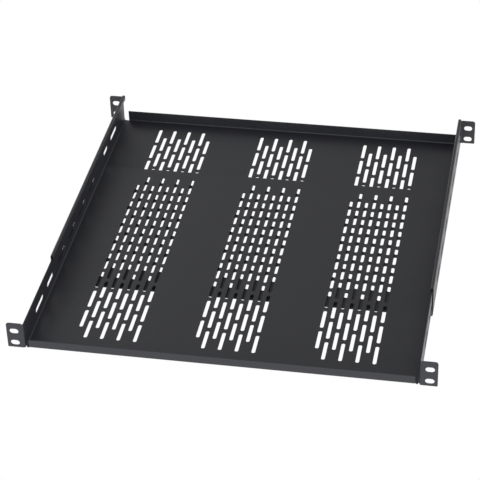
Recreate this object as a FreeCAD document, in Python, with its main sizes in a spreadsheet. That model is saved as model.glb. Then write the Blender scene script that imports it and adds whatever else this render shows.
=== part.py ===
import FreeCAD, Part
import math
import os

import Sketcher
from FreeCAD import Vector

# Cantilever rack shelf in two folded sheet trays, one sliding inside the other to suit the rack's depth.
# +Z is up, +Y runs from the front rails to the rear rails, and X runs along the rack's width.
# The origin is the centre of the four mounting slots in the front face of the front ears.

doc = FreeCAD.newDocument("rack_shelf")

# Driving dimensions in millimetres, one row each: name, value, meaning.
DRIVING = [
    ("ear_span", 482.6, "width over the ears, 19 inch rack panel"),
    ("hole_span", 465.1, "rack holes, left to right"),
    ("hole_rise", 15.875, "rack holes, outer pair of one rack unit"),
    ("rest_depth", 493.5, "front face to rear face as set up"),
    ("sheet", 1.2, "steel sheet thickness"),
    ("bend_in", 1.5, "inner radius of every fold but the guide channel's"),
    ("side_gap", 0.3, "clearance between the two trays' side walls"),
    ("floor_gap", 2.5, "clearance between the two trays' floors"),
    ("outer_width", 447.4, "width over the rear tray's side walls"),
    ("floor_drop", 13.1, "rack hole centre line down to the front tray's floor top"),
    ("ear_tall", 33.2, "height of each ear"),
    ("ear_round_high", 3.2, "radius on the ears' free top corner"),
    ("ear_round_low", 1.0, "radius on the ears' free bottom corner"),
    ("ear_slot_long", 10.3, "mounting slot, end to end"),
    ("ear_slot_wide", 6.8, "mounting slot, height"),
    ("lip_drop", 3.0, "rack hole centre line down to the lips' top edge"),
    ("lip_wide", 434.0, "length of each lip"),
    ("lip_slit", 0.4, "slit between each end of a lip and the floor's corner"),
    ("corner_back", 1.0, "floor's corner pieces, back from the tray's face"),
    ("guide_drop", 6.0, "guide channel along the rear tray's wall tops, down to the inner leg's edge"),
    ("guide_in", 0.8, "inner radius of the guide channel's folds"),
    ("wall_round", 5.0, "radius on the front tray's free top corners"),
    ("vent_long", 31.8, "vent slot, end to end"),
    ("vent_wide", 4.2, "vent slot, width"),
    ("vent_point", 1.8, "length of a vent slot's tapered end"),
    ("vent_step", 9.54, "vent columns, side to side"),
    ("group_step", 135.5, "vent groups, side to side"),
    ("wall_slot_long", 32.0, "side wall slot, end to end"),
    ("wall_slot_wide", 6.6, "side wall slot, height"),
    ("wall_slot_step", 49.0, "side wall slots, centre to centre"),
    ("front_long", 374.0, "front tray, face to free end"),
    ("front_rise", 30.9, "front tray, floor top to wall top"),
    ("front_vent", 42.65, "front tray, face to first vent row"),
    ("front_row", 18.67, "front tray, vent rows, front to back"),
    ("front_slot", 64.5, "front tray, face to first wall slot"),
    ("front_slot_high", -0.5, "front tray, rack hole centre line up to the wall slots"),
    ("rear_long", 366.3, "rear tray, face to free end"),
    ("rear_rise", 39.2, "rear tray, floor top to wall top"),
    ("rear_vent", 34.5, "rear tray, face to first vent row"),
    ("rear_row", 18.53, "rear tray, vent rows, front to back"),
    ("rear_slot", 61.7, "rear tray, face to first wall slot"),
    ("rear_slot_high", 0.2, "rear tray, rack hole centre line up to the wall slots"),
]
# Dimensions worked out from the driving ones.
DERIVED = [
    ("bend_out", "=sheet + bend_in", "outer radius of every fold but the guide channel's"),
    ("guide_bend", "=min(guide_in; 0.49 * (sheet + 2 * side_gap))", "that inner radius, limited by the channel"),
    ("guide_out", "=sheet + guide_bend", "outer radius of the guide channel's folds"),
    ("guide_wide", "=3 * sheet + 2 * side_gap", "guide channel over both legs, round the front tray's wall"),
    ("front_half", "=outer_width / 2 - sheet - side_gap", "front tray, middle to wall's outer face"),
    ("rear_half", "=outer_width / 2", "rear tray, middle to wall's outer face"),
    ("front_floor", "=-floor_drop", "front tray, height of the floor's top"),
    ("rear_floor", "=-floor_drop - sheet - floor_gap", "rear tray, height of the floor's top"),
    ("ear_low", "=-floor_drop - sheet", "height of the ears' bottom edge"),
    ("ear_high", "=ear_low + ear_tall", "height of the ears' top edge"),
    ("front_ear_top", "=min(ear_high; front_floor + front_rise)", "front tray, top of the ear's fold"),
    ("rear_ear_top", "=min(ear_high; rear_floor + rear_rise - guide_out)", "rear tray, top of the ear's fold"),
]
VENT_COLUMNS = 4        # in every group, each second vent column
VENT_GROUPS = 3
VENT_ROWS = (9, 8)      # the two staggered sets of rows
WALL_SLOTS = 6

dims = doc.addObject("Spreadsheet::Sheet", "dims")
for line, (name, value, meaning) in enumerate(DRIVING + DERIVED, start=1):
    dims.set("A%d" % line, meaning)
    dims.set("B%d" % line, str(value))
    dims.setAlias("B%d" % line, name)
doc.recompute()


def named(body, rule):
    """Spell out a rule for one tray: words become dims.words, and a leading tray_ its own prefix."""
    side = body.Label.split("_")[0]
    words = []
    for word in rule.replace("(", "( ").replace(")", " )").split():
        word = word.replace("tray_", side + "_")
        words.append("dims." + word if word[0].isalpha() else word)
    return " ".join(words)


def drive(body, thing, path, rule):
    """Bind one property of a feature or sketch to a rule over the named dimensions."""
    thing.setExpression(path, named(body, rule))


def new_sketch(body, name, plane, across="0"):
    """A sketch on one of the body's origin planes, moved along the plane's normal by a rule."""
    sketch = body.newObject("Sketcher::SketchObject", name)
    feature = [part for part in body.Origin.OriginFeatures if part.Name.startswith(plane)][0]
    sketch.AttachmentSupport = [(feature, "")]
    sketch.MapMode = "FlatFace"
    if across != "0":
        drive(body, sketch, "AttachmentOffset.Base.z", across)
    return sketch


def bow(start, end, radius):
    """Arc from start to end, always held anticlockwise; a negative radius bows the other way."""
    if radius < 0:
        start, end = end, start
    radius = abs(radius)
    chord = end - start
    rise = math.sqrt(max(radius ** 2 - chord.Length ** 2 / 4, 0))
    centre = (start + end) / 2 + Vector(-chord.y, chord.x, 0).normalize() * rise
    angles = [math.atan2(point.y - centre.y, point.x - centre.x) for point in (start, end)]
    circle = Part.Circle(centre, Vector(0, 0, 1), radius)
    return Part.ArcOfCircle(circle, angles[0], angles[1])


def outline(body, sketch, corners):
    """Closed outline through (x rule, y rule) corners; a third entry bows the edge that leaves it."""
    at = [Vector(*(body.evalExpression(named(body, rule)) for rule in corner[:2])) for corner in corners]
    first = sketch.GeometryCount
    ends = []
    for index, corner in enumerate(corners):
        here = at[index]
        beyond = at[(index + 1) % len(at)]
        if len(corner) == 3:
            radius = body.evalExpression(named(body, corner[2]))
            edge = sketch.addGeometry(bow(here, beyond, radius), False)
            ends.append((1, 2) if radius > 0 else (2, 1))
        else:
            edge = sketch.addGeometry(Part.LineSegment(here, beyond), False)
            ends.append((1, 2))
    for index, corner in enumerate(corners):
        after = (index + 1) % len(corners)
        edge = first + index
        sketch.addConstraint(
            Sketcher.Constraint("Coincident", edge, ends[index][1], first + after, ends[after][0])
        )
        for kind, rule, value in (
            ("DistanceX", corner[0], at[index].x),
            ("DistanceY", corner[1], at[index].y),
        ):
            held = sketch.addConstraint(Sketcher.Constraint(kind, edge, ends[index][0], value))
            drive(body, sketch, "Constraints[%d]" % held, rule)
        if len(corner) == 3:
            radius = abs(body.evalExpression(named(body, corner[2])))
            held = sketch.addConstraint(Sketcher.Constraint("Radius", edge, radius))
            drive(body, sketch, "Constraints[%d]" % held, corner[2].lstrip("- "))


def slot(body, sketch, centre, long, wide):
    """Round-ended slot lying along the sketch's x, about a centre given by two rules."""
    half = body.evalExpression(named(body, "( %s - %s ) / 2" % (long, wide)))
    radius = body.evalExpression(named(body, "%s / 2" % wide))
    middle = Vector(*(body.evalExpression(named(body, rule)) for rule in centre))
    ends = []
    lines = []
    for sign in (1, -1):
        reach = Vector(half * sign, 0, 0)
        rise = Vector(0, radius * sign, 0)
        start = -sign * math.pi / 2
        circle = Part.Circle(middle + reach, Vector(0, 0, 1), radius)
        ends.append(sketch.addGeometry(Part.ArcOfCircle(circle, start, start + math.pi), False))
        edge = Part.LineSegment(middle + reach + rise, middle - reach + rise)
        lines.append(sketch.addGeometry(edge, False))
    for join in (
        (ends[0], 2, lines[0], 1),
        (lines[0], 2, ends[1], 1),
        (ends[1], 2, lines[1], 1),
        (lines[1], 2, ends[0], 1),
    ):
        sketch.addConstraint(Sketcher.Constraint("Tangent", *join))
    sketch.addConstraint(Sketcher.Constraint("Equal", ends[0], ends[1]))
    held = sketch.addConstraint(Sketcher.Constraint("Radius", ends[0], radius))
    drive(body, sketch, "Constraints[%d]" % held, "%s / 2" % wide)
    for sign, end in zip((1, -1), ends):
        along = "%s + %d * ( %s - %s ) / 2" % (centre[0], sign, long, wide)
        for kind, rule, value in (
            ("DistanceX", along, middle.x + half * sign),
            ("DistanceY", centre[1], middle.y),
        ):
            held = sketch.addConstraint(Sketcher.Constraint(kind, end, 3, value))
            drive(body, sketch, "Constraints[%d]" % held, rule)


def add(body, name, sketch, length=None, backwards=False):
    """Pad a sketch by a rule, along its normal or against it."""
    pad = body.newObject("PartDesign::Pad", name)
    pad.Profile = sketch
    pad.Refine = False
    pad.Reversed = backwards
    drive(body, pad, "Length", length)
    return pad


def cut(body, name, sketch, both_ways=False, length=None):
    """Pocket a sketch to a depth, or right through on one side of its plane or on both."""
    pocket = body.newObject("PartDesign::Pocket", name)
    pocket.Profile = sketch
    pocket.Refine = False
    if length:
        drive(body, pocket, "Length", length)
        return pocket
    pocket.Type = "ThroughAll"
    if both_ways:
        pocket.SideType = "Symmetric"
    return pocket


def axis(body, name):
    """One of the body's origin axes or planes, as a reference for a pattern or a mirror."""
    return ([part for part in body.Origin.OriginFeatures if part.Name.startswith(name)][0], [""])


def row(body, name, along, step, count):
    """A step of a pattern: count copies along an origin axis, a rule apart."""
    line = doc.addObject("PartDesign::LinearPattern", body.Label + "_" + name)
    line.Direction = axis(body, along)
    line.Occurrences = count
    drive(body, line, "Length", "( %s ) * %d" % (step, count - 1))
    return line


def pattern(body, name, original, steps):
    """Repeat one feature through the given rows, one inside the other."""
    many = body.newObject("PartDesign::MultiTransform", name)
    many.Originals = [original]
    for step in steps:
        body.addObject(step)
    many.Transformations = steps
    many.Refine = False
    body.Tip = many
    return many


def mirror(body, name, originals):
    """Repeat features on the body's other side."""
    other = body.newObject("PartDesign::Mirrored", name)
    other.Originals = originals
    other.MirrorPlane = axis(body, "YZ_Plane")
    other.Refine = False
    body.Tip = other
    return other


def channel(body, guide):
    """Floor and both side walls as one folded section, run from the floor's corners to the free end.

    The rear tray's walls are folded inward and down again, into a guide for the front tray's walls.
    The floor is drawn as three strips, one to each group of vents, which stay as separate faces.
    """
    top = "tray_floor + tray_rise"
    low = "tray_floor - sheet"
    half = "tray_half"
    inner = "( tray_half - sheet )"
    if guide:
        leg = half + " - guide_wide"
        rim = [
            (half, top + " - guide_out", "guide_out"),
            (half + " - guide_out", top),
            (leg + " + guide_out", top, "guide_out"),
            (leg, top + " - guide_out"),
            (leg, top + " - guide_drop"),
            (leg + " + sheet", top + " - guide_drop"),
            (leg + " + sheet", top + " - guide_out", "-1 * guide_bend"),
            (leg + " + guide_out", top + " - sheet"),
            (half + " - guide_out", top + " - sheet", "-1 * guide_bend"),
            (inner, top + " - guide_out"),
        ]
    else:
        rim = [(half, top), (inner, top)]
    right = [("group_step / 2", low), (half + " - bend_out", low, "bend_out"), (half, low + " + bend_out")]
    right += rim
    right += [
        (inner, "tray_floor + bend_in", "-1 * bend_in"),
        (inner + " - bend_in", "tray_floor"),
        ("group_step / 2", "tray_floor"),
    ]
    left = []
    for index in range(len(right) - 1, -1, -1):
        across, height = right[index][:2]
        bow_here = right[index - 1][2:] if index else ()
        left.append(("-1 * ( " + across + " )", height) + tuple(bow_here))
    section = new_sketch(body, "channel_section", "XZ_Plane", "-1 * corner_back")
    outline(body, section, right + left)
    return add(body, "channel", section, "tray_long - corner_back", backwards=True)


def folds_notch(body):
    """Clear the face's folds: the lip's across the floor, and each ear's up the wall."""
    top = "tray_floor + tray_rise + sheet"
    low = "tray_floor - 2 * sheet"
    hub = "tray_floor + bend_in"
    near = "( lip_wide / 2 + lip_slit )"
    far = "( tray_half + sheet )"
    notch = new_sketch(body, "folds_notch_outline", "XZ_Plane")
    outline(body, notch, [
        ("-1 * " + near, low),
        (near, low),
        (near, hub),
        (far, hub),
        (far, top),
        ("-1 * " + far, top),
        ("-1 * " + far, hub),
        ("-1 * " + near, hub),
    ])
    return cut(body, "folds_notch", notch, length="bend_out")


def lip(body):
    """Low lip folded up from the floor across the face."""
    low = "tray_floor - sheet"
    section = new_sketch(body, "lip_section", "YZ_Plane", "lip_wide / -2")
    outline(body, section, [
        ("bend_out", low),
        ("bend_out", "tray_floor", "-1 * bend_in"),
        ("sheet", "tray_floor + bend_in"),
        ("sheet", "-1 * lip_drop"),
        ("0", "-1 * lip_drop"),
        ("0", low + " + bend_out", "bend_out"),
    ])
    return add(body, "lip", section, "lip_wide")


def ear(body):
    """Right ear: the wall's end folded outward, then the flat plate with its two mounting slots."""
    inner = "tray_half - sheet"
    outer = "tray_half + bend_in"
    fold = new_sketch(body, "ear_fold_section", "XY_Plane", "tray_floor + bend_in")
    outline(body, fold, [
        (inner, "bend_out", "bend_out"),
        (outer, "0"),
        (outer, "sheet", "-1 * bend_in"),
        ("tray_half", "bend_out"),
    ])
    folded = add(body, "ear_fold", fold, "tray_ear_top - tray_floor - bend_in")
    plate = new_sketch(body, "ear_outline", "XZ_Plane")
    edge = "ear_span / 2"
    outline(body, plate, [
        (outer, "ear_low"),
        (edge + " - ear_round_low", "ear_low", "ear_round_low"),
        (edge, "ear_low + ear_round_low"),
        (edge, "ear_high - ear_round_high", "ear_round_high"),
        (edge + " - ear_round_high", "ear_high"),
        (outer, "ear_high"),
    ])
    for sign in ("+", "-"):
        height = "0 %s hole_rise / 2" % sign
        slot(body, plate, ("hole_span / 2", height), "ear_slot_long", "ear_slot_wide")
    return [folded, add(body, "ear", plate, "sheet", backwards=True)]


def wall_corner(body):
    """Round off the free top corner of both side walls."""
    top = "tray_floor + tray_rise"
    corner = new_sketch(body, "wall_corner_outline", "YZ_Plane")
    outline(body, corner, [
        ("tray_long", top + " - wall_round", "wall_round"),
        ("tray_long - wall_round", top),
        ("tray_long - wall_round", top + " + sheet"),
        ("tray_long + sheet", top + " + sheet"),
        ("tray_long + sheet", top + " - wall_round"),
    ])
    return cut(body, "wall_corner", corner, both_ways=True)


def wall_slots(body):
    """One row of long slots through both side walls, each end's round drawn as four straight sides."""
    first = new_sketch(body, "wall_slot_outline", "YZ_Plane")
    ends = []
    for sign in (1, -1):
        for side in range(-2, 3):
            angle = side * math.pi / 4
            along = "%.4f * wall_slot_wide" % (math.cos(angle) * sign / 2)
            up = "tray_slot_high + %.4f * wall_slot_wide" % (math.sin(angle) * sign / 2)
            ends.append(("tray_slot + %d * ( wall_slot_long - wall_slot_wide ) / 2 + %s" % (sign, along), up))
    outline(body, first, ends)
    one = cut(body, "wall_slot", first, both_ways=True)
    return pattern(body, "wall_slots", one, [row(body, "slot_row", "Y_Axis", "wall_slot_step", WALL_SLOTS)])


def vents(body):
    """Three groups of staggered vent slots in the floor: odd columns first, even columns between."""
    for turn, count in enumerate(VENT_ROWS):
        name = ("vent_odd", "vent_even")[turn]
        left = "-1 * group_step - %s * vent_step" % ("2.5", "3.5")[turn]
        ahead = "tray_vent + %d * tray_row" % turn
        shoulder = "( vent_long / 2 - vent_point )"
        first = new_sketch(body, name + "_outline", "XY_Plane", "tray_floor")
        outline(body, first, [
            (left, ahead + " - vent_long / 2"),
            (left + " + vent_wide / 2", ahead + " - " + shoulder),
            (left + " + vent_wide / 2", ahead + " + " + shoulder),
            (left, ahead + " + vent_long / 2"),
            (left + " - vent_wide / 2", ahead + " + " + shoulder),
            (left + " - vent_wide / 2", ahead + " - " + shoulder),
        ])
        one = cut(body, name, first)
        pattern(body, name + "_field", one, [
            row(body, name + "_columns", "X_Axis", "2 * vent_step", VENT_COLUMNS),
            row(body, name + "_groups", "X_Axis", "group_step", VENT_GROUPS),
            row(body, name + "_rows", "Y_Axis", "2 * tray_row", count),
        ])


def tray(label, guide):
    """One folded tray, drawn with its face at y = 0 and its free end toward +Y."""
    body = doc.addObject("PartDesign::Body", label)
    body.Label = label
    channel(body, guide)
    folds_notch(body)
    lip(body)
    mirror(body, "other_ear", ear(body))
    if not guide:
        wall_corner(body)
    wall_slots(body)
    vents(body)
    return body


front_tray = tray("front_tray", guide=False)
rear_tray = tray("rear_tray", guide=True)
rear_tray.Placement = FreeCAD.Placement(Vector(0, 1, 0), FreeCAD.Rotation(Vector(0, 0, 1), 180))
drive(rear_tray, rear_tray, "Placement.Base.y", "rest_depth")
doc.recompute()

os.makedirs("parts", exist_ok=True)
for thing in doc.Objects:
    if "Invalid" in thing.State or "Error" in thing.State:
        raise RuntimeError("%s did not compute" % thing.Label)
for body in (front_tray, rear_tray):
    if body.Shape.isNull() or not body.Shape.isValid() or len(body.Shape.Solids) != 1:
        raise RuntimeError("%s is not one valid solid" % body.Label)
    body.Shape.exportStep("parts/%s.step" % body.Label)
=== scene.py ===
import math

import bmesh
import bpy
from mathutils import Matrix, Vector
from mathutils.geometry import delaunay_2d_cdt


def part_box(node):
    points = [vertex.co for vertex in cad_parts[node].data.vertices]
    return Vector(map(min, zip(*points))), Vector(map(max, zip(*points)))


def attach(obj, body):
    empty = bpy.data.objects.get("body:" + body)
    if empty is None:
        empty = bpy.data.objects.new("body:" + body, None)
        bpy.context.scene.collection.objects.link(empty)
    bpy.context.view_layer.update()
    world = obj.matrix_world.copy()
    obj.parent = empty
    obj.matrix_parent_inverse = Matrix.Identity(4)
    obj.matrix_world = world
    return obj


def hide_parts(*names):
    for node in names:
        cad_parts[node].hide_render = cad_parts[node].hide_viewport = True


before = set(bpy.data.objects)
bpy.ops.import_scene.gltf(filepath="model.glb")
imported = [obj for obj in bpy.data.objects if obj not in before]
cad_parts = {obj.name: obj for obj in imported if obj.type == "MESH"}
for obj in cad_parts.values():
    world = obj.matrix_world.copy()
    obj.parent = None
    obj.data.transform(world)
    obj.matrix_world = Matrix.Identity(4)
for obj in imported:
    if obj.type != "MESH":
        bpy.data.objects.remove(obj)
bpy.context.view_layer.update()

# Lengths are in millimetres in each tray's own frame: the face at y = 0, the free end toward +y,
# and z = 0 at the centre of the rack's mounting slots. MM brings them to the scene's metres.
MM = 0.001
SHEET = 1.2                         # sheet thickness
BEND_OUT = 2.7                      # outer radius of every fold but the guide channel's two
GUIDE_OUT = 2.0                     # outer radius of the guide channel's folds
GUIDE_WIDE = 4.2                    # guide channel, width over both legs
GUIDE_DROP = 6.0                    # guide channel, wall top down to the inner leg's edge
RIM = 0.22                          # roundness of every cut edge
HOLE_SPAN = 465.1                   # between the two columns of mounting slots
HOLE_RISE = 15.875                  # between the two mounting slots of an ear
EAR_TALL = 33.2
EAR_ROUND_HIGH = 3.2                # the ear's upper free corner
EAR_ROUND_LOW = 1.0                 # and its lower one
EAR_SLOT = (10.3, 6.8)              # end to end, and across
LIP_DROP = 3.0                      # the slots' centre line down to the lip's edge
LIP_WIDE = 434.0
LIP_SLIT = 0.4                      # between the lip's end and the floor's corner piece
EAR_SLIT = 0.15                     # round the bottom of the ear's fold
CORNER_BACK = 1.0                   # the corner piece's front edge, back from the face
WALL_ROUND = 5.0                    # the front tray's wall, upper corner at the free end
WALL_SLOT = (32.0, 6.6)             # end to end, and across
WALL_SLOT_STEP = 49.0
WALL_SLOTS = 6
VENT = (31.8, 4.2)                  # end to end, and across
VENT_STEP = 9.54                    # from one vent column to the next
VENT_COLUMNS = 8
VENT_ROWS = 17
GROUP_STEP = 135.5                  # from one group of vents to the next
GROUPS = (-1, 0, 1)
SIDES = (-1, 1)

# Of each tray: "half" is the middle to the wall's outer face, "rise" the floor's top to the wall's
# top, "vent" and "slot" the face to the first vent row's and wall slot's centre, "row" the step
# from one vent row to the next, and "slot_high" the height of the wall slots' centre line.
TRAYS = {
    "front_tray": {
        "half": 222.2, "rise": 30.9, "vent": 42.65, "row": 18.67, "slot": 64.5, "slot_high": -0.5,
    },
    "rear_tray": {
        "half": 223.7, "rise": 39.2, "vent": 34.5, "row": 18.53, "slot": 61.7, "slot_high": 0.2,
    },
}
GUIDED = ("rear_tray",)             # trays with the guide channel along their wall tops
TURNED = ("rear_tray",)             # trays that face the back

# The ears' bottom edge is level with the underside of the front tray's floor, and their reach is
# half the front tray's width.
EAR_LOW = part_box("front_tray")[0][2] / MM
EAR_HIGH = EAR_LOW + EAR_TALL
EAR_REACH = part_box("front_tray")[1][0] / MM

FOLD_STEPS = 8                      # flats to a square fold
ROUND_STEPS = 10                    # sides of a slot's round end
CORNER_STEPS = 6                    # sides of a large rounded corner
SMALL_CORNER_STEPS = 4              # and of a small one
REPEAT = 1e-4                       # outline points nearer than this are one point
CUT_SNAP = 1e-5                     # vertices this near a fold line count as on it
CAP_SNAP = 1e-7                     # and this near each other in a cap, as one
POINT_LIMIT = 0.3                   # keeps the inset from running far at a pointed corner
SHARP = math.radians(40)            # edges that turn more than this are shaded sharp

# The looks. Roughness is a slow drift from gloss to matt plus a fine grain of either sign.
COAT = (0.026, 0.027, 0.034)
COAT_IOR = 1.5
COAT_ROUGHNESS = 0.42               # the middle of the drift, for readers that skip the noise
DRIFT = (0.38, 0.46)
GRAIN = (-0.03, 0.03)
MOTTLE = (0.88, 1.12)               # share of the coat's colour in its dark and light spots
PEEL_STRENGTH = 0.35
PEEL_HIGH = 0.00006                 # metres
NOISE_BAND = (0.3, 0.7)             # the part of the noise's values that is spread out
DRIFT_NOISE = (14, 3)               # scale per metre, and octaves
GRAIN_NOISE = (900, 2)
MOTTLE_NOISE = (450, 4)
PEEL_NOISE = (1100, 2)
PATTERN_SHIFT = (1, 0.7, 0.3)       # how far a seed of 1 moves the noise along x, y and z

TABLE_LEVEL = 1.0
SKY_LEVEL = 0.46
TABLE_EDGE, SKY_EDGE = -0.25, 0.35  # heights of a ray's heading where each level is reached

# Name, place and aim in metres, size in metres, and power in watts.
LAMPS = (
    ("front_low", (0, -2.4, 0.3), (0, 0.1, 0), (1.6, 0.5), 19),
    ("right", (2.4, 0.2, 0.9), (0, 0.25, 0), (1.2, 1.0), 14),
    ("back_left", (-1.6, 2.2, 1.1), (0, 0.25, 0), (1.2, 1.0), 5),
)

# The camera looks at a point on the front tray's floor. Its numbers were fitted to the photograph.
AIM = Vector((-0.0198, 0.2374, EAR_LOW * MM + SHEET * MM))
AZIMUTH, ELEVATION, ROLL = (math.radians(angle) for angle in (11.556, 35.463, -2.008))
DISTANCE = 2.257                    # metres
SENSOR = 36.0                       # width, millimetres
LENS = 140.34                       # focal length, millimetres


def middle(outer_radius):
    """Radius along the middle of the sheet."""
    return outer_radius - SHEET / 2


def fold(outer_radius):
    """Flat length of a square fold, along the middle of the sheet."""
    return middle(outer_radius) * math.pi / 2


def arc(centre, radius, start, turn, steps):
    """Points on an arc, both ends included, with angles in degrees."""
    points = []
    for step in range(steps + 1):
        angle = math.radians(start + turn * step / steps)
        points.append((centre[0] + radius * math.cos(angle), centre[1] + radius * math.sin(angle)))
    return points


def slot(centre, size):
    """Anticlockwise outline of a round-ended slot that lies along v."""
    radius = size[1] / 2
    reach = size[0] / 2 - radius
    far = arc((centre[0], centre[1] + reach), radius, 0, 180, ROUND_STEPS)
    near = arc((centre[0], centre[1] - reach), radius, 180, 180, ROUND_STEPS)
    return far + near


class Blank:
    """One tray's flat blank, and how it folds: s runs across from the middle, v from the face."""

    def __init__(self, node):
        low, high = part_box(node)
        sizes = TRAYS[node]
        self.sizes = sizes
        self.half = sizes["half"]
        self.long = (high[1] - low[1]) / MM
        self.floor = low[2] / MM + SHEET
        self.flat = self.half - BEND_OUT            # the floor's flat ends here in s
        self.wall = self.flat + fold(BEND_OUT)      # and the wall's flat starts here
        self.face = BEND_OUT - fold(BEND_OUT)       # the lip's and the ears' flat starts here in v
        self.hub = self.floor - SHEET + BEND_OUT    # height of the floor folds' centre
        self.top = self.up(self.floor + sizes["rise"])
        self.guided = node in GUIDED
        if self.guided:
            # The channel's folds have their centres at the height crest. In s, the first starts at
            # ridge, where the wall's flat ends, and the second at drop.
            self.crest = self.floor + sizes["rise"] - GUIDE_OUT
            self.ridge = self.up(self.crest)
            self.drop = self.ridge + fold(GUIDE_OUT) + GUIDE_WIDE - 2 * GUIDE_OUT
            self.top = self.drop + fold(GUIDE_OUT) + GUIDE_DROP - GUIDE_OUT

    def up(self, height):
        """The s at which the wall or the ear has this height."""
        return self.wall + height - self.hub

    def out(self, across):
        """The v at which the ear has this distance from the middle."""
        return self.face - (across - self.half - BEND_OUT + SHEET)

    def outline(self):
        """Anticlockwise outline: the right half from lip to free end, then its mirror image."""
        lip = LIP_WIDE / 2
        low, high = self.up(EAR_LOW), self.up(EAR_HIGH)
        tip = self.out(EAR_REACH)
        corner = low - EAR_SLIT
        right = [(lip, self.face + LIP_DROP + self.hub), (lip, BEND_OUT)]
        right += [(lip + LIP_SLIT, BEND_OUT), (lip + LIP_SLIT, CORNER_BACK), (corner, CORNER_BACK)]
        if low < self.wall:             # the ear reaches down past the wall's fold line
            cut = BEND_OUT + EAR_SLIT
            right += [(corner, cut), (self.wall, cut), (self.wall, BEND_OUT)]
        else:
            right += [(corner, BEND_OUT)]
        right += [(low, BEND_OUT)]
        centre = (low + EAR_ROUND_LOW, tip + EAR_ROUND_LOW)
        right += arc(centre, EAR_ROUND_LOW, 180, 90, SMALL_CORNER_STEPS)
        centre = (high - EAR_ROUND_HIGH, tip + EAR_ROUND_HIGH)
        right += arc(centre, EAR_ROUND_HIGH, 270, 90, CORNER_STEPS)
        right += [(high, self.face)]
        if self.guided:
            right += [(high, BEND_OUT), (self.top, BEND_OUT), (self.top, self.long)]
        else:
            right += [(self.top, self.face)]
            centre = (self.top - WALL_ROUND, self.long - WALL_ROUND)
            right += arc(centre, WALL_ROUND, 0, 90, CORNER_STEPS)
        return right + [(-s, v) for s, v in reversed(right)]

    def holes(self):
        """Every punched slot: the vents, then the side walls' slots, then the ears'."""
        sizes = self.sizes
        slots = []
        for group in GROUPS:
            for row in range(VENT_ROWS):
                for column in range(1 - row % 2, VENT_COLUMNS, 2):
                    across = group * GROUP_STEP + (column - (VENT_COLUMNS - 1) / 2) * VENT_STEP
                    slots.append(slot((across, sizes["vent"] + row * sizes["row"]), VENT))
        for side in SIDES:
            for place in range(WALL_SLOTS):
                along = sizes["slot"] + place * WALL_SLOT_STEP
                slots.append(slot((side * self.up(sizes["slot_high"]), along), WALL_SLOT))
            for height in (-HOLE_RISE / 2, HOLE_RISE / 2):
                slots.append(slot((side * self.up(height), self.out(HOLE_SPAN / 2)), EAR_SLOT))
        return slots

    def creases(self):
        """The lines that divide the blank for its folds: a point on each, and its normal."""
        lines = []
        for step in range(FOLD_STEPS + 1):
            share = step / FOLD_STEPS
            lines.append(((0, BEND_OUT - fold(BEND_OUT) * share, 0), (0, 1, 0)))
            for side in SIDES:
                lines.append(((side * (self.flat + fold(BEND_OUT) * share), 0, 0), (1, 0, 0)))
                if self.guided:
                    for start in (self.ridge, self.drop):
                        lines.append(((side * (start + fold(GUIDE_OUT) * share), 0, 0), (1, 0, 0)))
        return lines

    def folded(self, s, v, w):
        """Where the blank's point goes when the sheet is folded; w is its height in the sheet."""
        side = 1 if s > 0 else -1
        across = abs(s)
        inner = BEND_OUT - w                # radius on a fold that closes toward the sheet's top
        outer = BEND_OUT - SHEET + w        # and on one that closes toward its underside
        lip = LIP_WIDE / 2 + LIP_SLIT / 2
        slit = self.up(EAR_LOW) - EAR_SLIT / 2
        corner = lip < across < slit
        ear_edge = slit < across < self.wall and v < BEND_OUT + EAR_SLIT / 2
        if ear_edge or v < BEND_OUT and not corner:
            turn = min((BEND_OUT - v) / middle(BEND_OUT), math.pi / 2)
            past = max(self.face - v, 0)
            if across < lip:
                rise = self.hub - inner * math.cos(turn) + past
                return (s, BEND_OUT - inner * math.sin(turn), rise)
            reach = self.half - SHEET + BEND_OUT - outer * math.cos(turn) + past
            return (side * reach, BEND_OUT - outer * math.sin(turn), self.hub + across - self.wall)
        if across <= self.flat:
            return (s, v, self.floor - SHEET + w)
        if self.guided and across > self.ridge:
            inner = GUIDE_OUT - w
            if across > self.drop:
                turn = min((across - self.drop) / middle(GUIDE_OUT), math.pi / 2)
                past = max(across - self.drop - fold(GUIDE_OUT), 0)
                reach = self.half - GUIDE_WIDE + GUIDE_OUT - inner * math.sin(turn)
                return (side * reach, v, self.crest + inner * math.cos(turn) - past)
            turn = min((across - self.ridge) / middle(GUIDE_OUT), math.pi / 2)
            past = max(across - self.ridge - fold(GUIDE_OUT), 0)
            reach = self.half - GUIDE_OUT + inner * math.cos(turn) - past
            return (side * reach, v, self.crest + inner * math.sin(turn))
        turn = min((across - self.flat) / middle(BEND_OUT), math.pi / 2)
        past = max(across - self.wall, 0)
        reach = self.flat + inner * math.sin(turn)
        return (side * reach, v, self.hub - inner * math.cos(turn) + past)


def inward(loop, hole):
    """At every corner of an anticlockwise loop, the shift that moves its sides 1 mm inward."""
    shifts = []
    for index, here in enumerate(loop):
        before = Vector(loop[index - 1])
        after = Vector(loop[(index + 1) % len(loop)])
        here = Vector(here)
        first = (here - before).normalized()
        second = (after - here).normalized()
        left = Vector((-first.y, first.x)) + Vector((-second.y, second.x))
        left /= max(left.length_squared / 2, POINT_LIMIT)
        shifts.append(-left if hole else left)
    return shifts


def clean(loop):
    """A loop without points that repeat the one before."""
    return [here for index, here in enumerate(loop) if math.dist(here, loop[index - 1]) > REPEAT]


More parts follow.
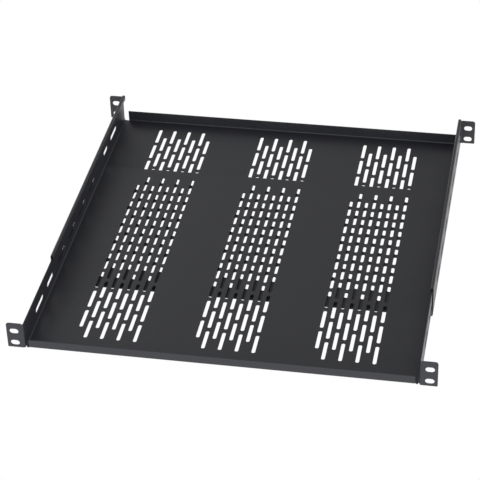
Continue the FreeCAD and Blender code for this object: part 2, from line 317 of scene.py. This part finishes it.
def punched(blank):
    """The blank as a solid sheet with every cut edge rounded, in s, v and w."""
    soft = RIM * (1 - math.sin(math.radians(45)))   # halfway round the rim
    rings = [(RIM, 0), (soft, soft), (0, RIM)]      # inset and height, from the underside up
    rings += [(inset, SHEET - height) for inset, height in reversed(rings)]
    mesh = bmesh.new()
    caps = ([], [])
    for number, loop in enumerate([blank.outline()] + blank.holes()):
        loop = clean(loop)
        shifts = inward(loop, hole=number > 0)
        made = []
        for inset, height in rings:
            made.append([
                mesh.verts.new((here[0] + shift.x * inset, here[1] + shift.y * inset, height))
                for here, shift in zip(loop, shifts)
            ])
        for lower, upper in zip(made, made[1:]):
            for index in range(len(loop)):
                mesh.faces.new((lower[index - 1], lower[index], upper[index], upper[index - 1]))
        caps[0].append(made[0])
        caps[1].append(made[-1])
    for loops in caps:
        corners = [corner for loop in loops for corner in loop]
        regions = []
        for loop in loops:
            start = regions[-1][-1] + 1 if regions else 0
            regions.append(list(range(start, start + len(loop))))
        flat = [Vector(corner.co[:2]) for corner in corners]
        _, _, faces, origins, _, insides = delaunay_2d_cdt(flat, [], regions, 1, CAP_SNAP, True)
        for face, inside in zip(faces, insides):
            if list(inside) == [0]:                 # in the outline and in no hole
                mesh.faces.new([corners[origins[index][0]] for index in face])
    return mesh


def tray(node, body, paint):
    """Punch and fold one tray, and stand it in for its CAD node."""
    blank = Blank(node)
    mesh = punched(blank)
    for place, normal in blank.creases():
        geometry = mesh.verts[:] + mesh.edges[:] + mesh.faces[:]
        bmesh.ops.bisect_plane(mesh, geom=geometry, dist=CUT_SNAP, plane_co=place, plane_no=normal)
    for corner in mesh.verts:
        corner.co = blank.folded(*corner.co)
    low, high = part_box(node)
    if node in TURNED:
        place = Matrix.Translation((0, high[1], 0)) @ Matrix.Rotation(math.pi, 4, "Z")
    else:
        place = Matrix.Translation((0, low[1], 0))
    bmesh.ops.transform(mesh, matrix=place @ Matrix.Scale(MM, 4), verts=mesh.verts)
    bmesh.ops.recalc_face_normals(mesh, faces=mesh.faces)
    data = bpy.data.meshes.new(node + "_folded")
    mesh.to_mesh(data)
    mesh.free()
    data.shade_smooth()
    data.set_sharp_from_angle(angle=SHARP)
    data.materials.append(paint)
    piece = bpy.data.objects.new(node + "_folded", data)
    bpy.context.scene.collection.objects.link(piece)
    weighted = piece.modifiers.new("even_shading", "WEIGHTED_NORMAL")
    weighted.keep_sharp = True
    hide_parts(node)
    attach(piece, body)


def powder_coat(name, seed):
    """Semi-gloss black powder coat: fine orange peel, a fainter mottle, and gloss that drifts."""
    paint = bpy.data.materials.new(name)
    paint.use_nodes = True
    nodes, links = paint.node_tree.nodes, paint.node_tree.links
    shader = nodes["Principled BSDF"]
    shader.inputs["Base Color"].default_value = (*COAT, 1)
    shader.inputs["Roughness"].default_value = COAT_ROUGHNESS
    shader.inputs["IOR"].default_value = COAT_IOR
    where = nodes.new("ShaderNodeTexCoord")
    shift = nodes.new("ShaderNodeMapping")
    shift.inputs["Location"].default_value = [seed * share for share in PATTERN_SHIFT]
    links.new(where.outputs["Object"], shift.inputs["Vector"])

    def noise(scale, detail):
        texture = nodes.new("ShaderNodeTexNoise")
        texture.inputs["Scale"].default_value = scale
        texture.inputs["Detail"].default_value = detail
        links.new(shift.outputs["Vector"], texture.inputs["Vector"])
        return texture.outputs["Fac"]

    def spread(value, low, high):
        ramp = nodes.new("ShaderNodeMapRange")
        ramp.inputs["From Min"].default_value = NOISE_BAND[0]
        ramp.inputs["From Max"].default_value = NOISE_BAND[1]
        ramp.inputs["To Min"].default_value = low
        ramp.inputs["To Max"].default_value = high
        links.new(value, ramp.inputs["Value"])
        return ramp.outputs["Result"]

    gloss = nodes.new("ShaderNodeMath")
    gloss.operation = "ADD"
    links.new(spread(noise(*DRIFT_NOISE), *DRIFT), gloss.inputs[0])
    links.new(spread(noise(*GRAIN_NOISE), *GRAIN), gloss.inputs[1])
    links.new(gloss.outputs["Value"], shader.inputs["Roughness"])
    mottle = nodes.new("ShaderNodeMix")
    mottle.data_type = "RGBA"
    for end, share in zip("AB", MOTTLE):
        mottle.inputs[end].default_value = (*[value * share for value in COAT], 1)
    links.new(spread(noise(*MOTTLE_NOISE), 0, 1), mottle.inputs["Factor"])
    links.new(mottle.outputs["Result"], shader.inputs["Base Color"])
    peel = nodes.new("ShaderNodeBump")
    peel.inputs["Strength"].default_value = PEEL_STRENGTH
    peel.inputs["Distance"].default_value = PEEL_HIGH
    links.new(noise(*PEEL_NOISE), peel.inputs["Height"])
    links.new(peel.outputs["Normal"], shader.inputs["Normal"])
    return paint


def studio():
    """A white table below and a dimmer room above, which every ray sees alike."""
    world = bpy.data.worlds.new("studio")
    world.use_nodes = True
    bpy.context.scene.world = world
    nodes, links = world.node_tree.nodes, world.node_tree.links
    background = nodes["Background"]
    background.inputs["Color"].default_value = (1, 1, 1, 1)
    where = nodes.new("ShaderNodeTexCoord")
    parts = nodes.new("ShaderNodeSeparateXYZ")
    links.new(where.outputs["Generated"], parts.inputs["Vector"])
    rise = nodes.new("ShaderNodeMapRange")
    rise.interpolation_type = "SMOOTHSTEP"
    rise.inputs["From Min"].default_value = TABLE_EDGE
    rise.inputs["From Max"].default_value = SKY_EDGE
    rise.inputs["To Min"].default_value = TABLE_LEVEL
    rise.inputs["To Max"].default_value = SKY_LEVEL
    links.new(parts.outputs["Z"], rise.inputs["Value"])
    links.new(rise.outputs["Result"], background.inputs["Strength"])


def softbox(name, place, aim, size, power):
    """A rectangular soft light at place that faces aim."""
    lamp = bpy.data.lights.new(name, "AREA")
    lamp.shape = "RECTANGLE"
    lamp.size, lamp.size_y = size
    lamp.energy = power
    holder = bpy.data.objects.new(name, lamp)
    bpy.context.scene.collection.objects.link(holder)
    holder.location = place
    holder.rotation_euler = (Vector(aim) - Vector(place)).to_track_quat("-Z", "Y").to_euler()
    holder.visible_camera = False


def camera():
    """The photograph's view: from the front, a little to the right, and above."""
    away = Vector((
        math.sin(AZIMUTH) * math.cos(ELEVATION),
        -math.cos(AZIMUTH) * math.cos(ELEVATION),
        math.sin(ELEVATION),
    ))
    right = Vector((0, 0, 1)).cross(away).normalized()
    upward = away.cross(right)
    turned_right = math.cos(ROLL) * right + math.sin(ROLL) * upward
    turned_up = -math.sin(ROLL) * right + math.cos(ROLL) * upward
    data = bpy.data.cameras.new("photo_view")
    data.sensor_width = SENSOR
    data.lens = LENS
    holder = bpy.data.objects.new("photo_view", data)
    bpy.context.scene.collection.objects.link(holder)
    pose = Matrix((turned_right, turned_up, away)).transposed().to_4x4()
    holder.matrix_world = Matrix.Translation(AIM + away * DISTANCE) @ pose
    bpy.context.scene.camera = holder


tray("front_tray", "front", powder_coat("front_tray_paint", 0.0))
tray("rear_tray", "rear", powder_coat("rear_tray_paint", 3.7))

studio()
for lamp in LAMPS:
    softbox(*lamp)
camera()
bpy.context.scene.view_settings.view_transform = "Standard"
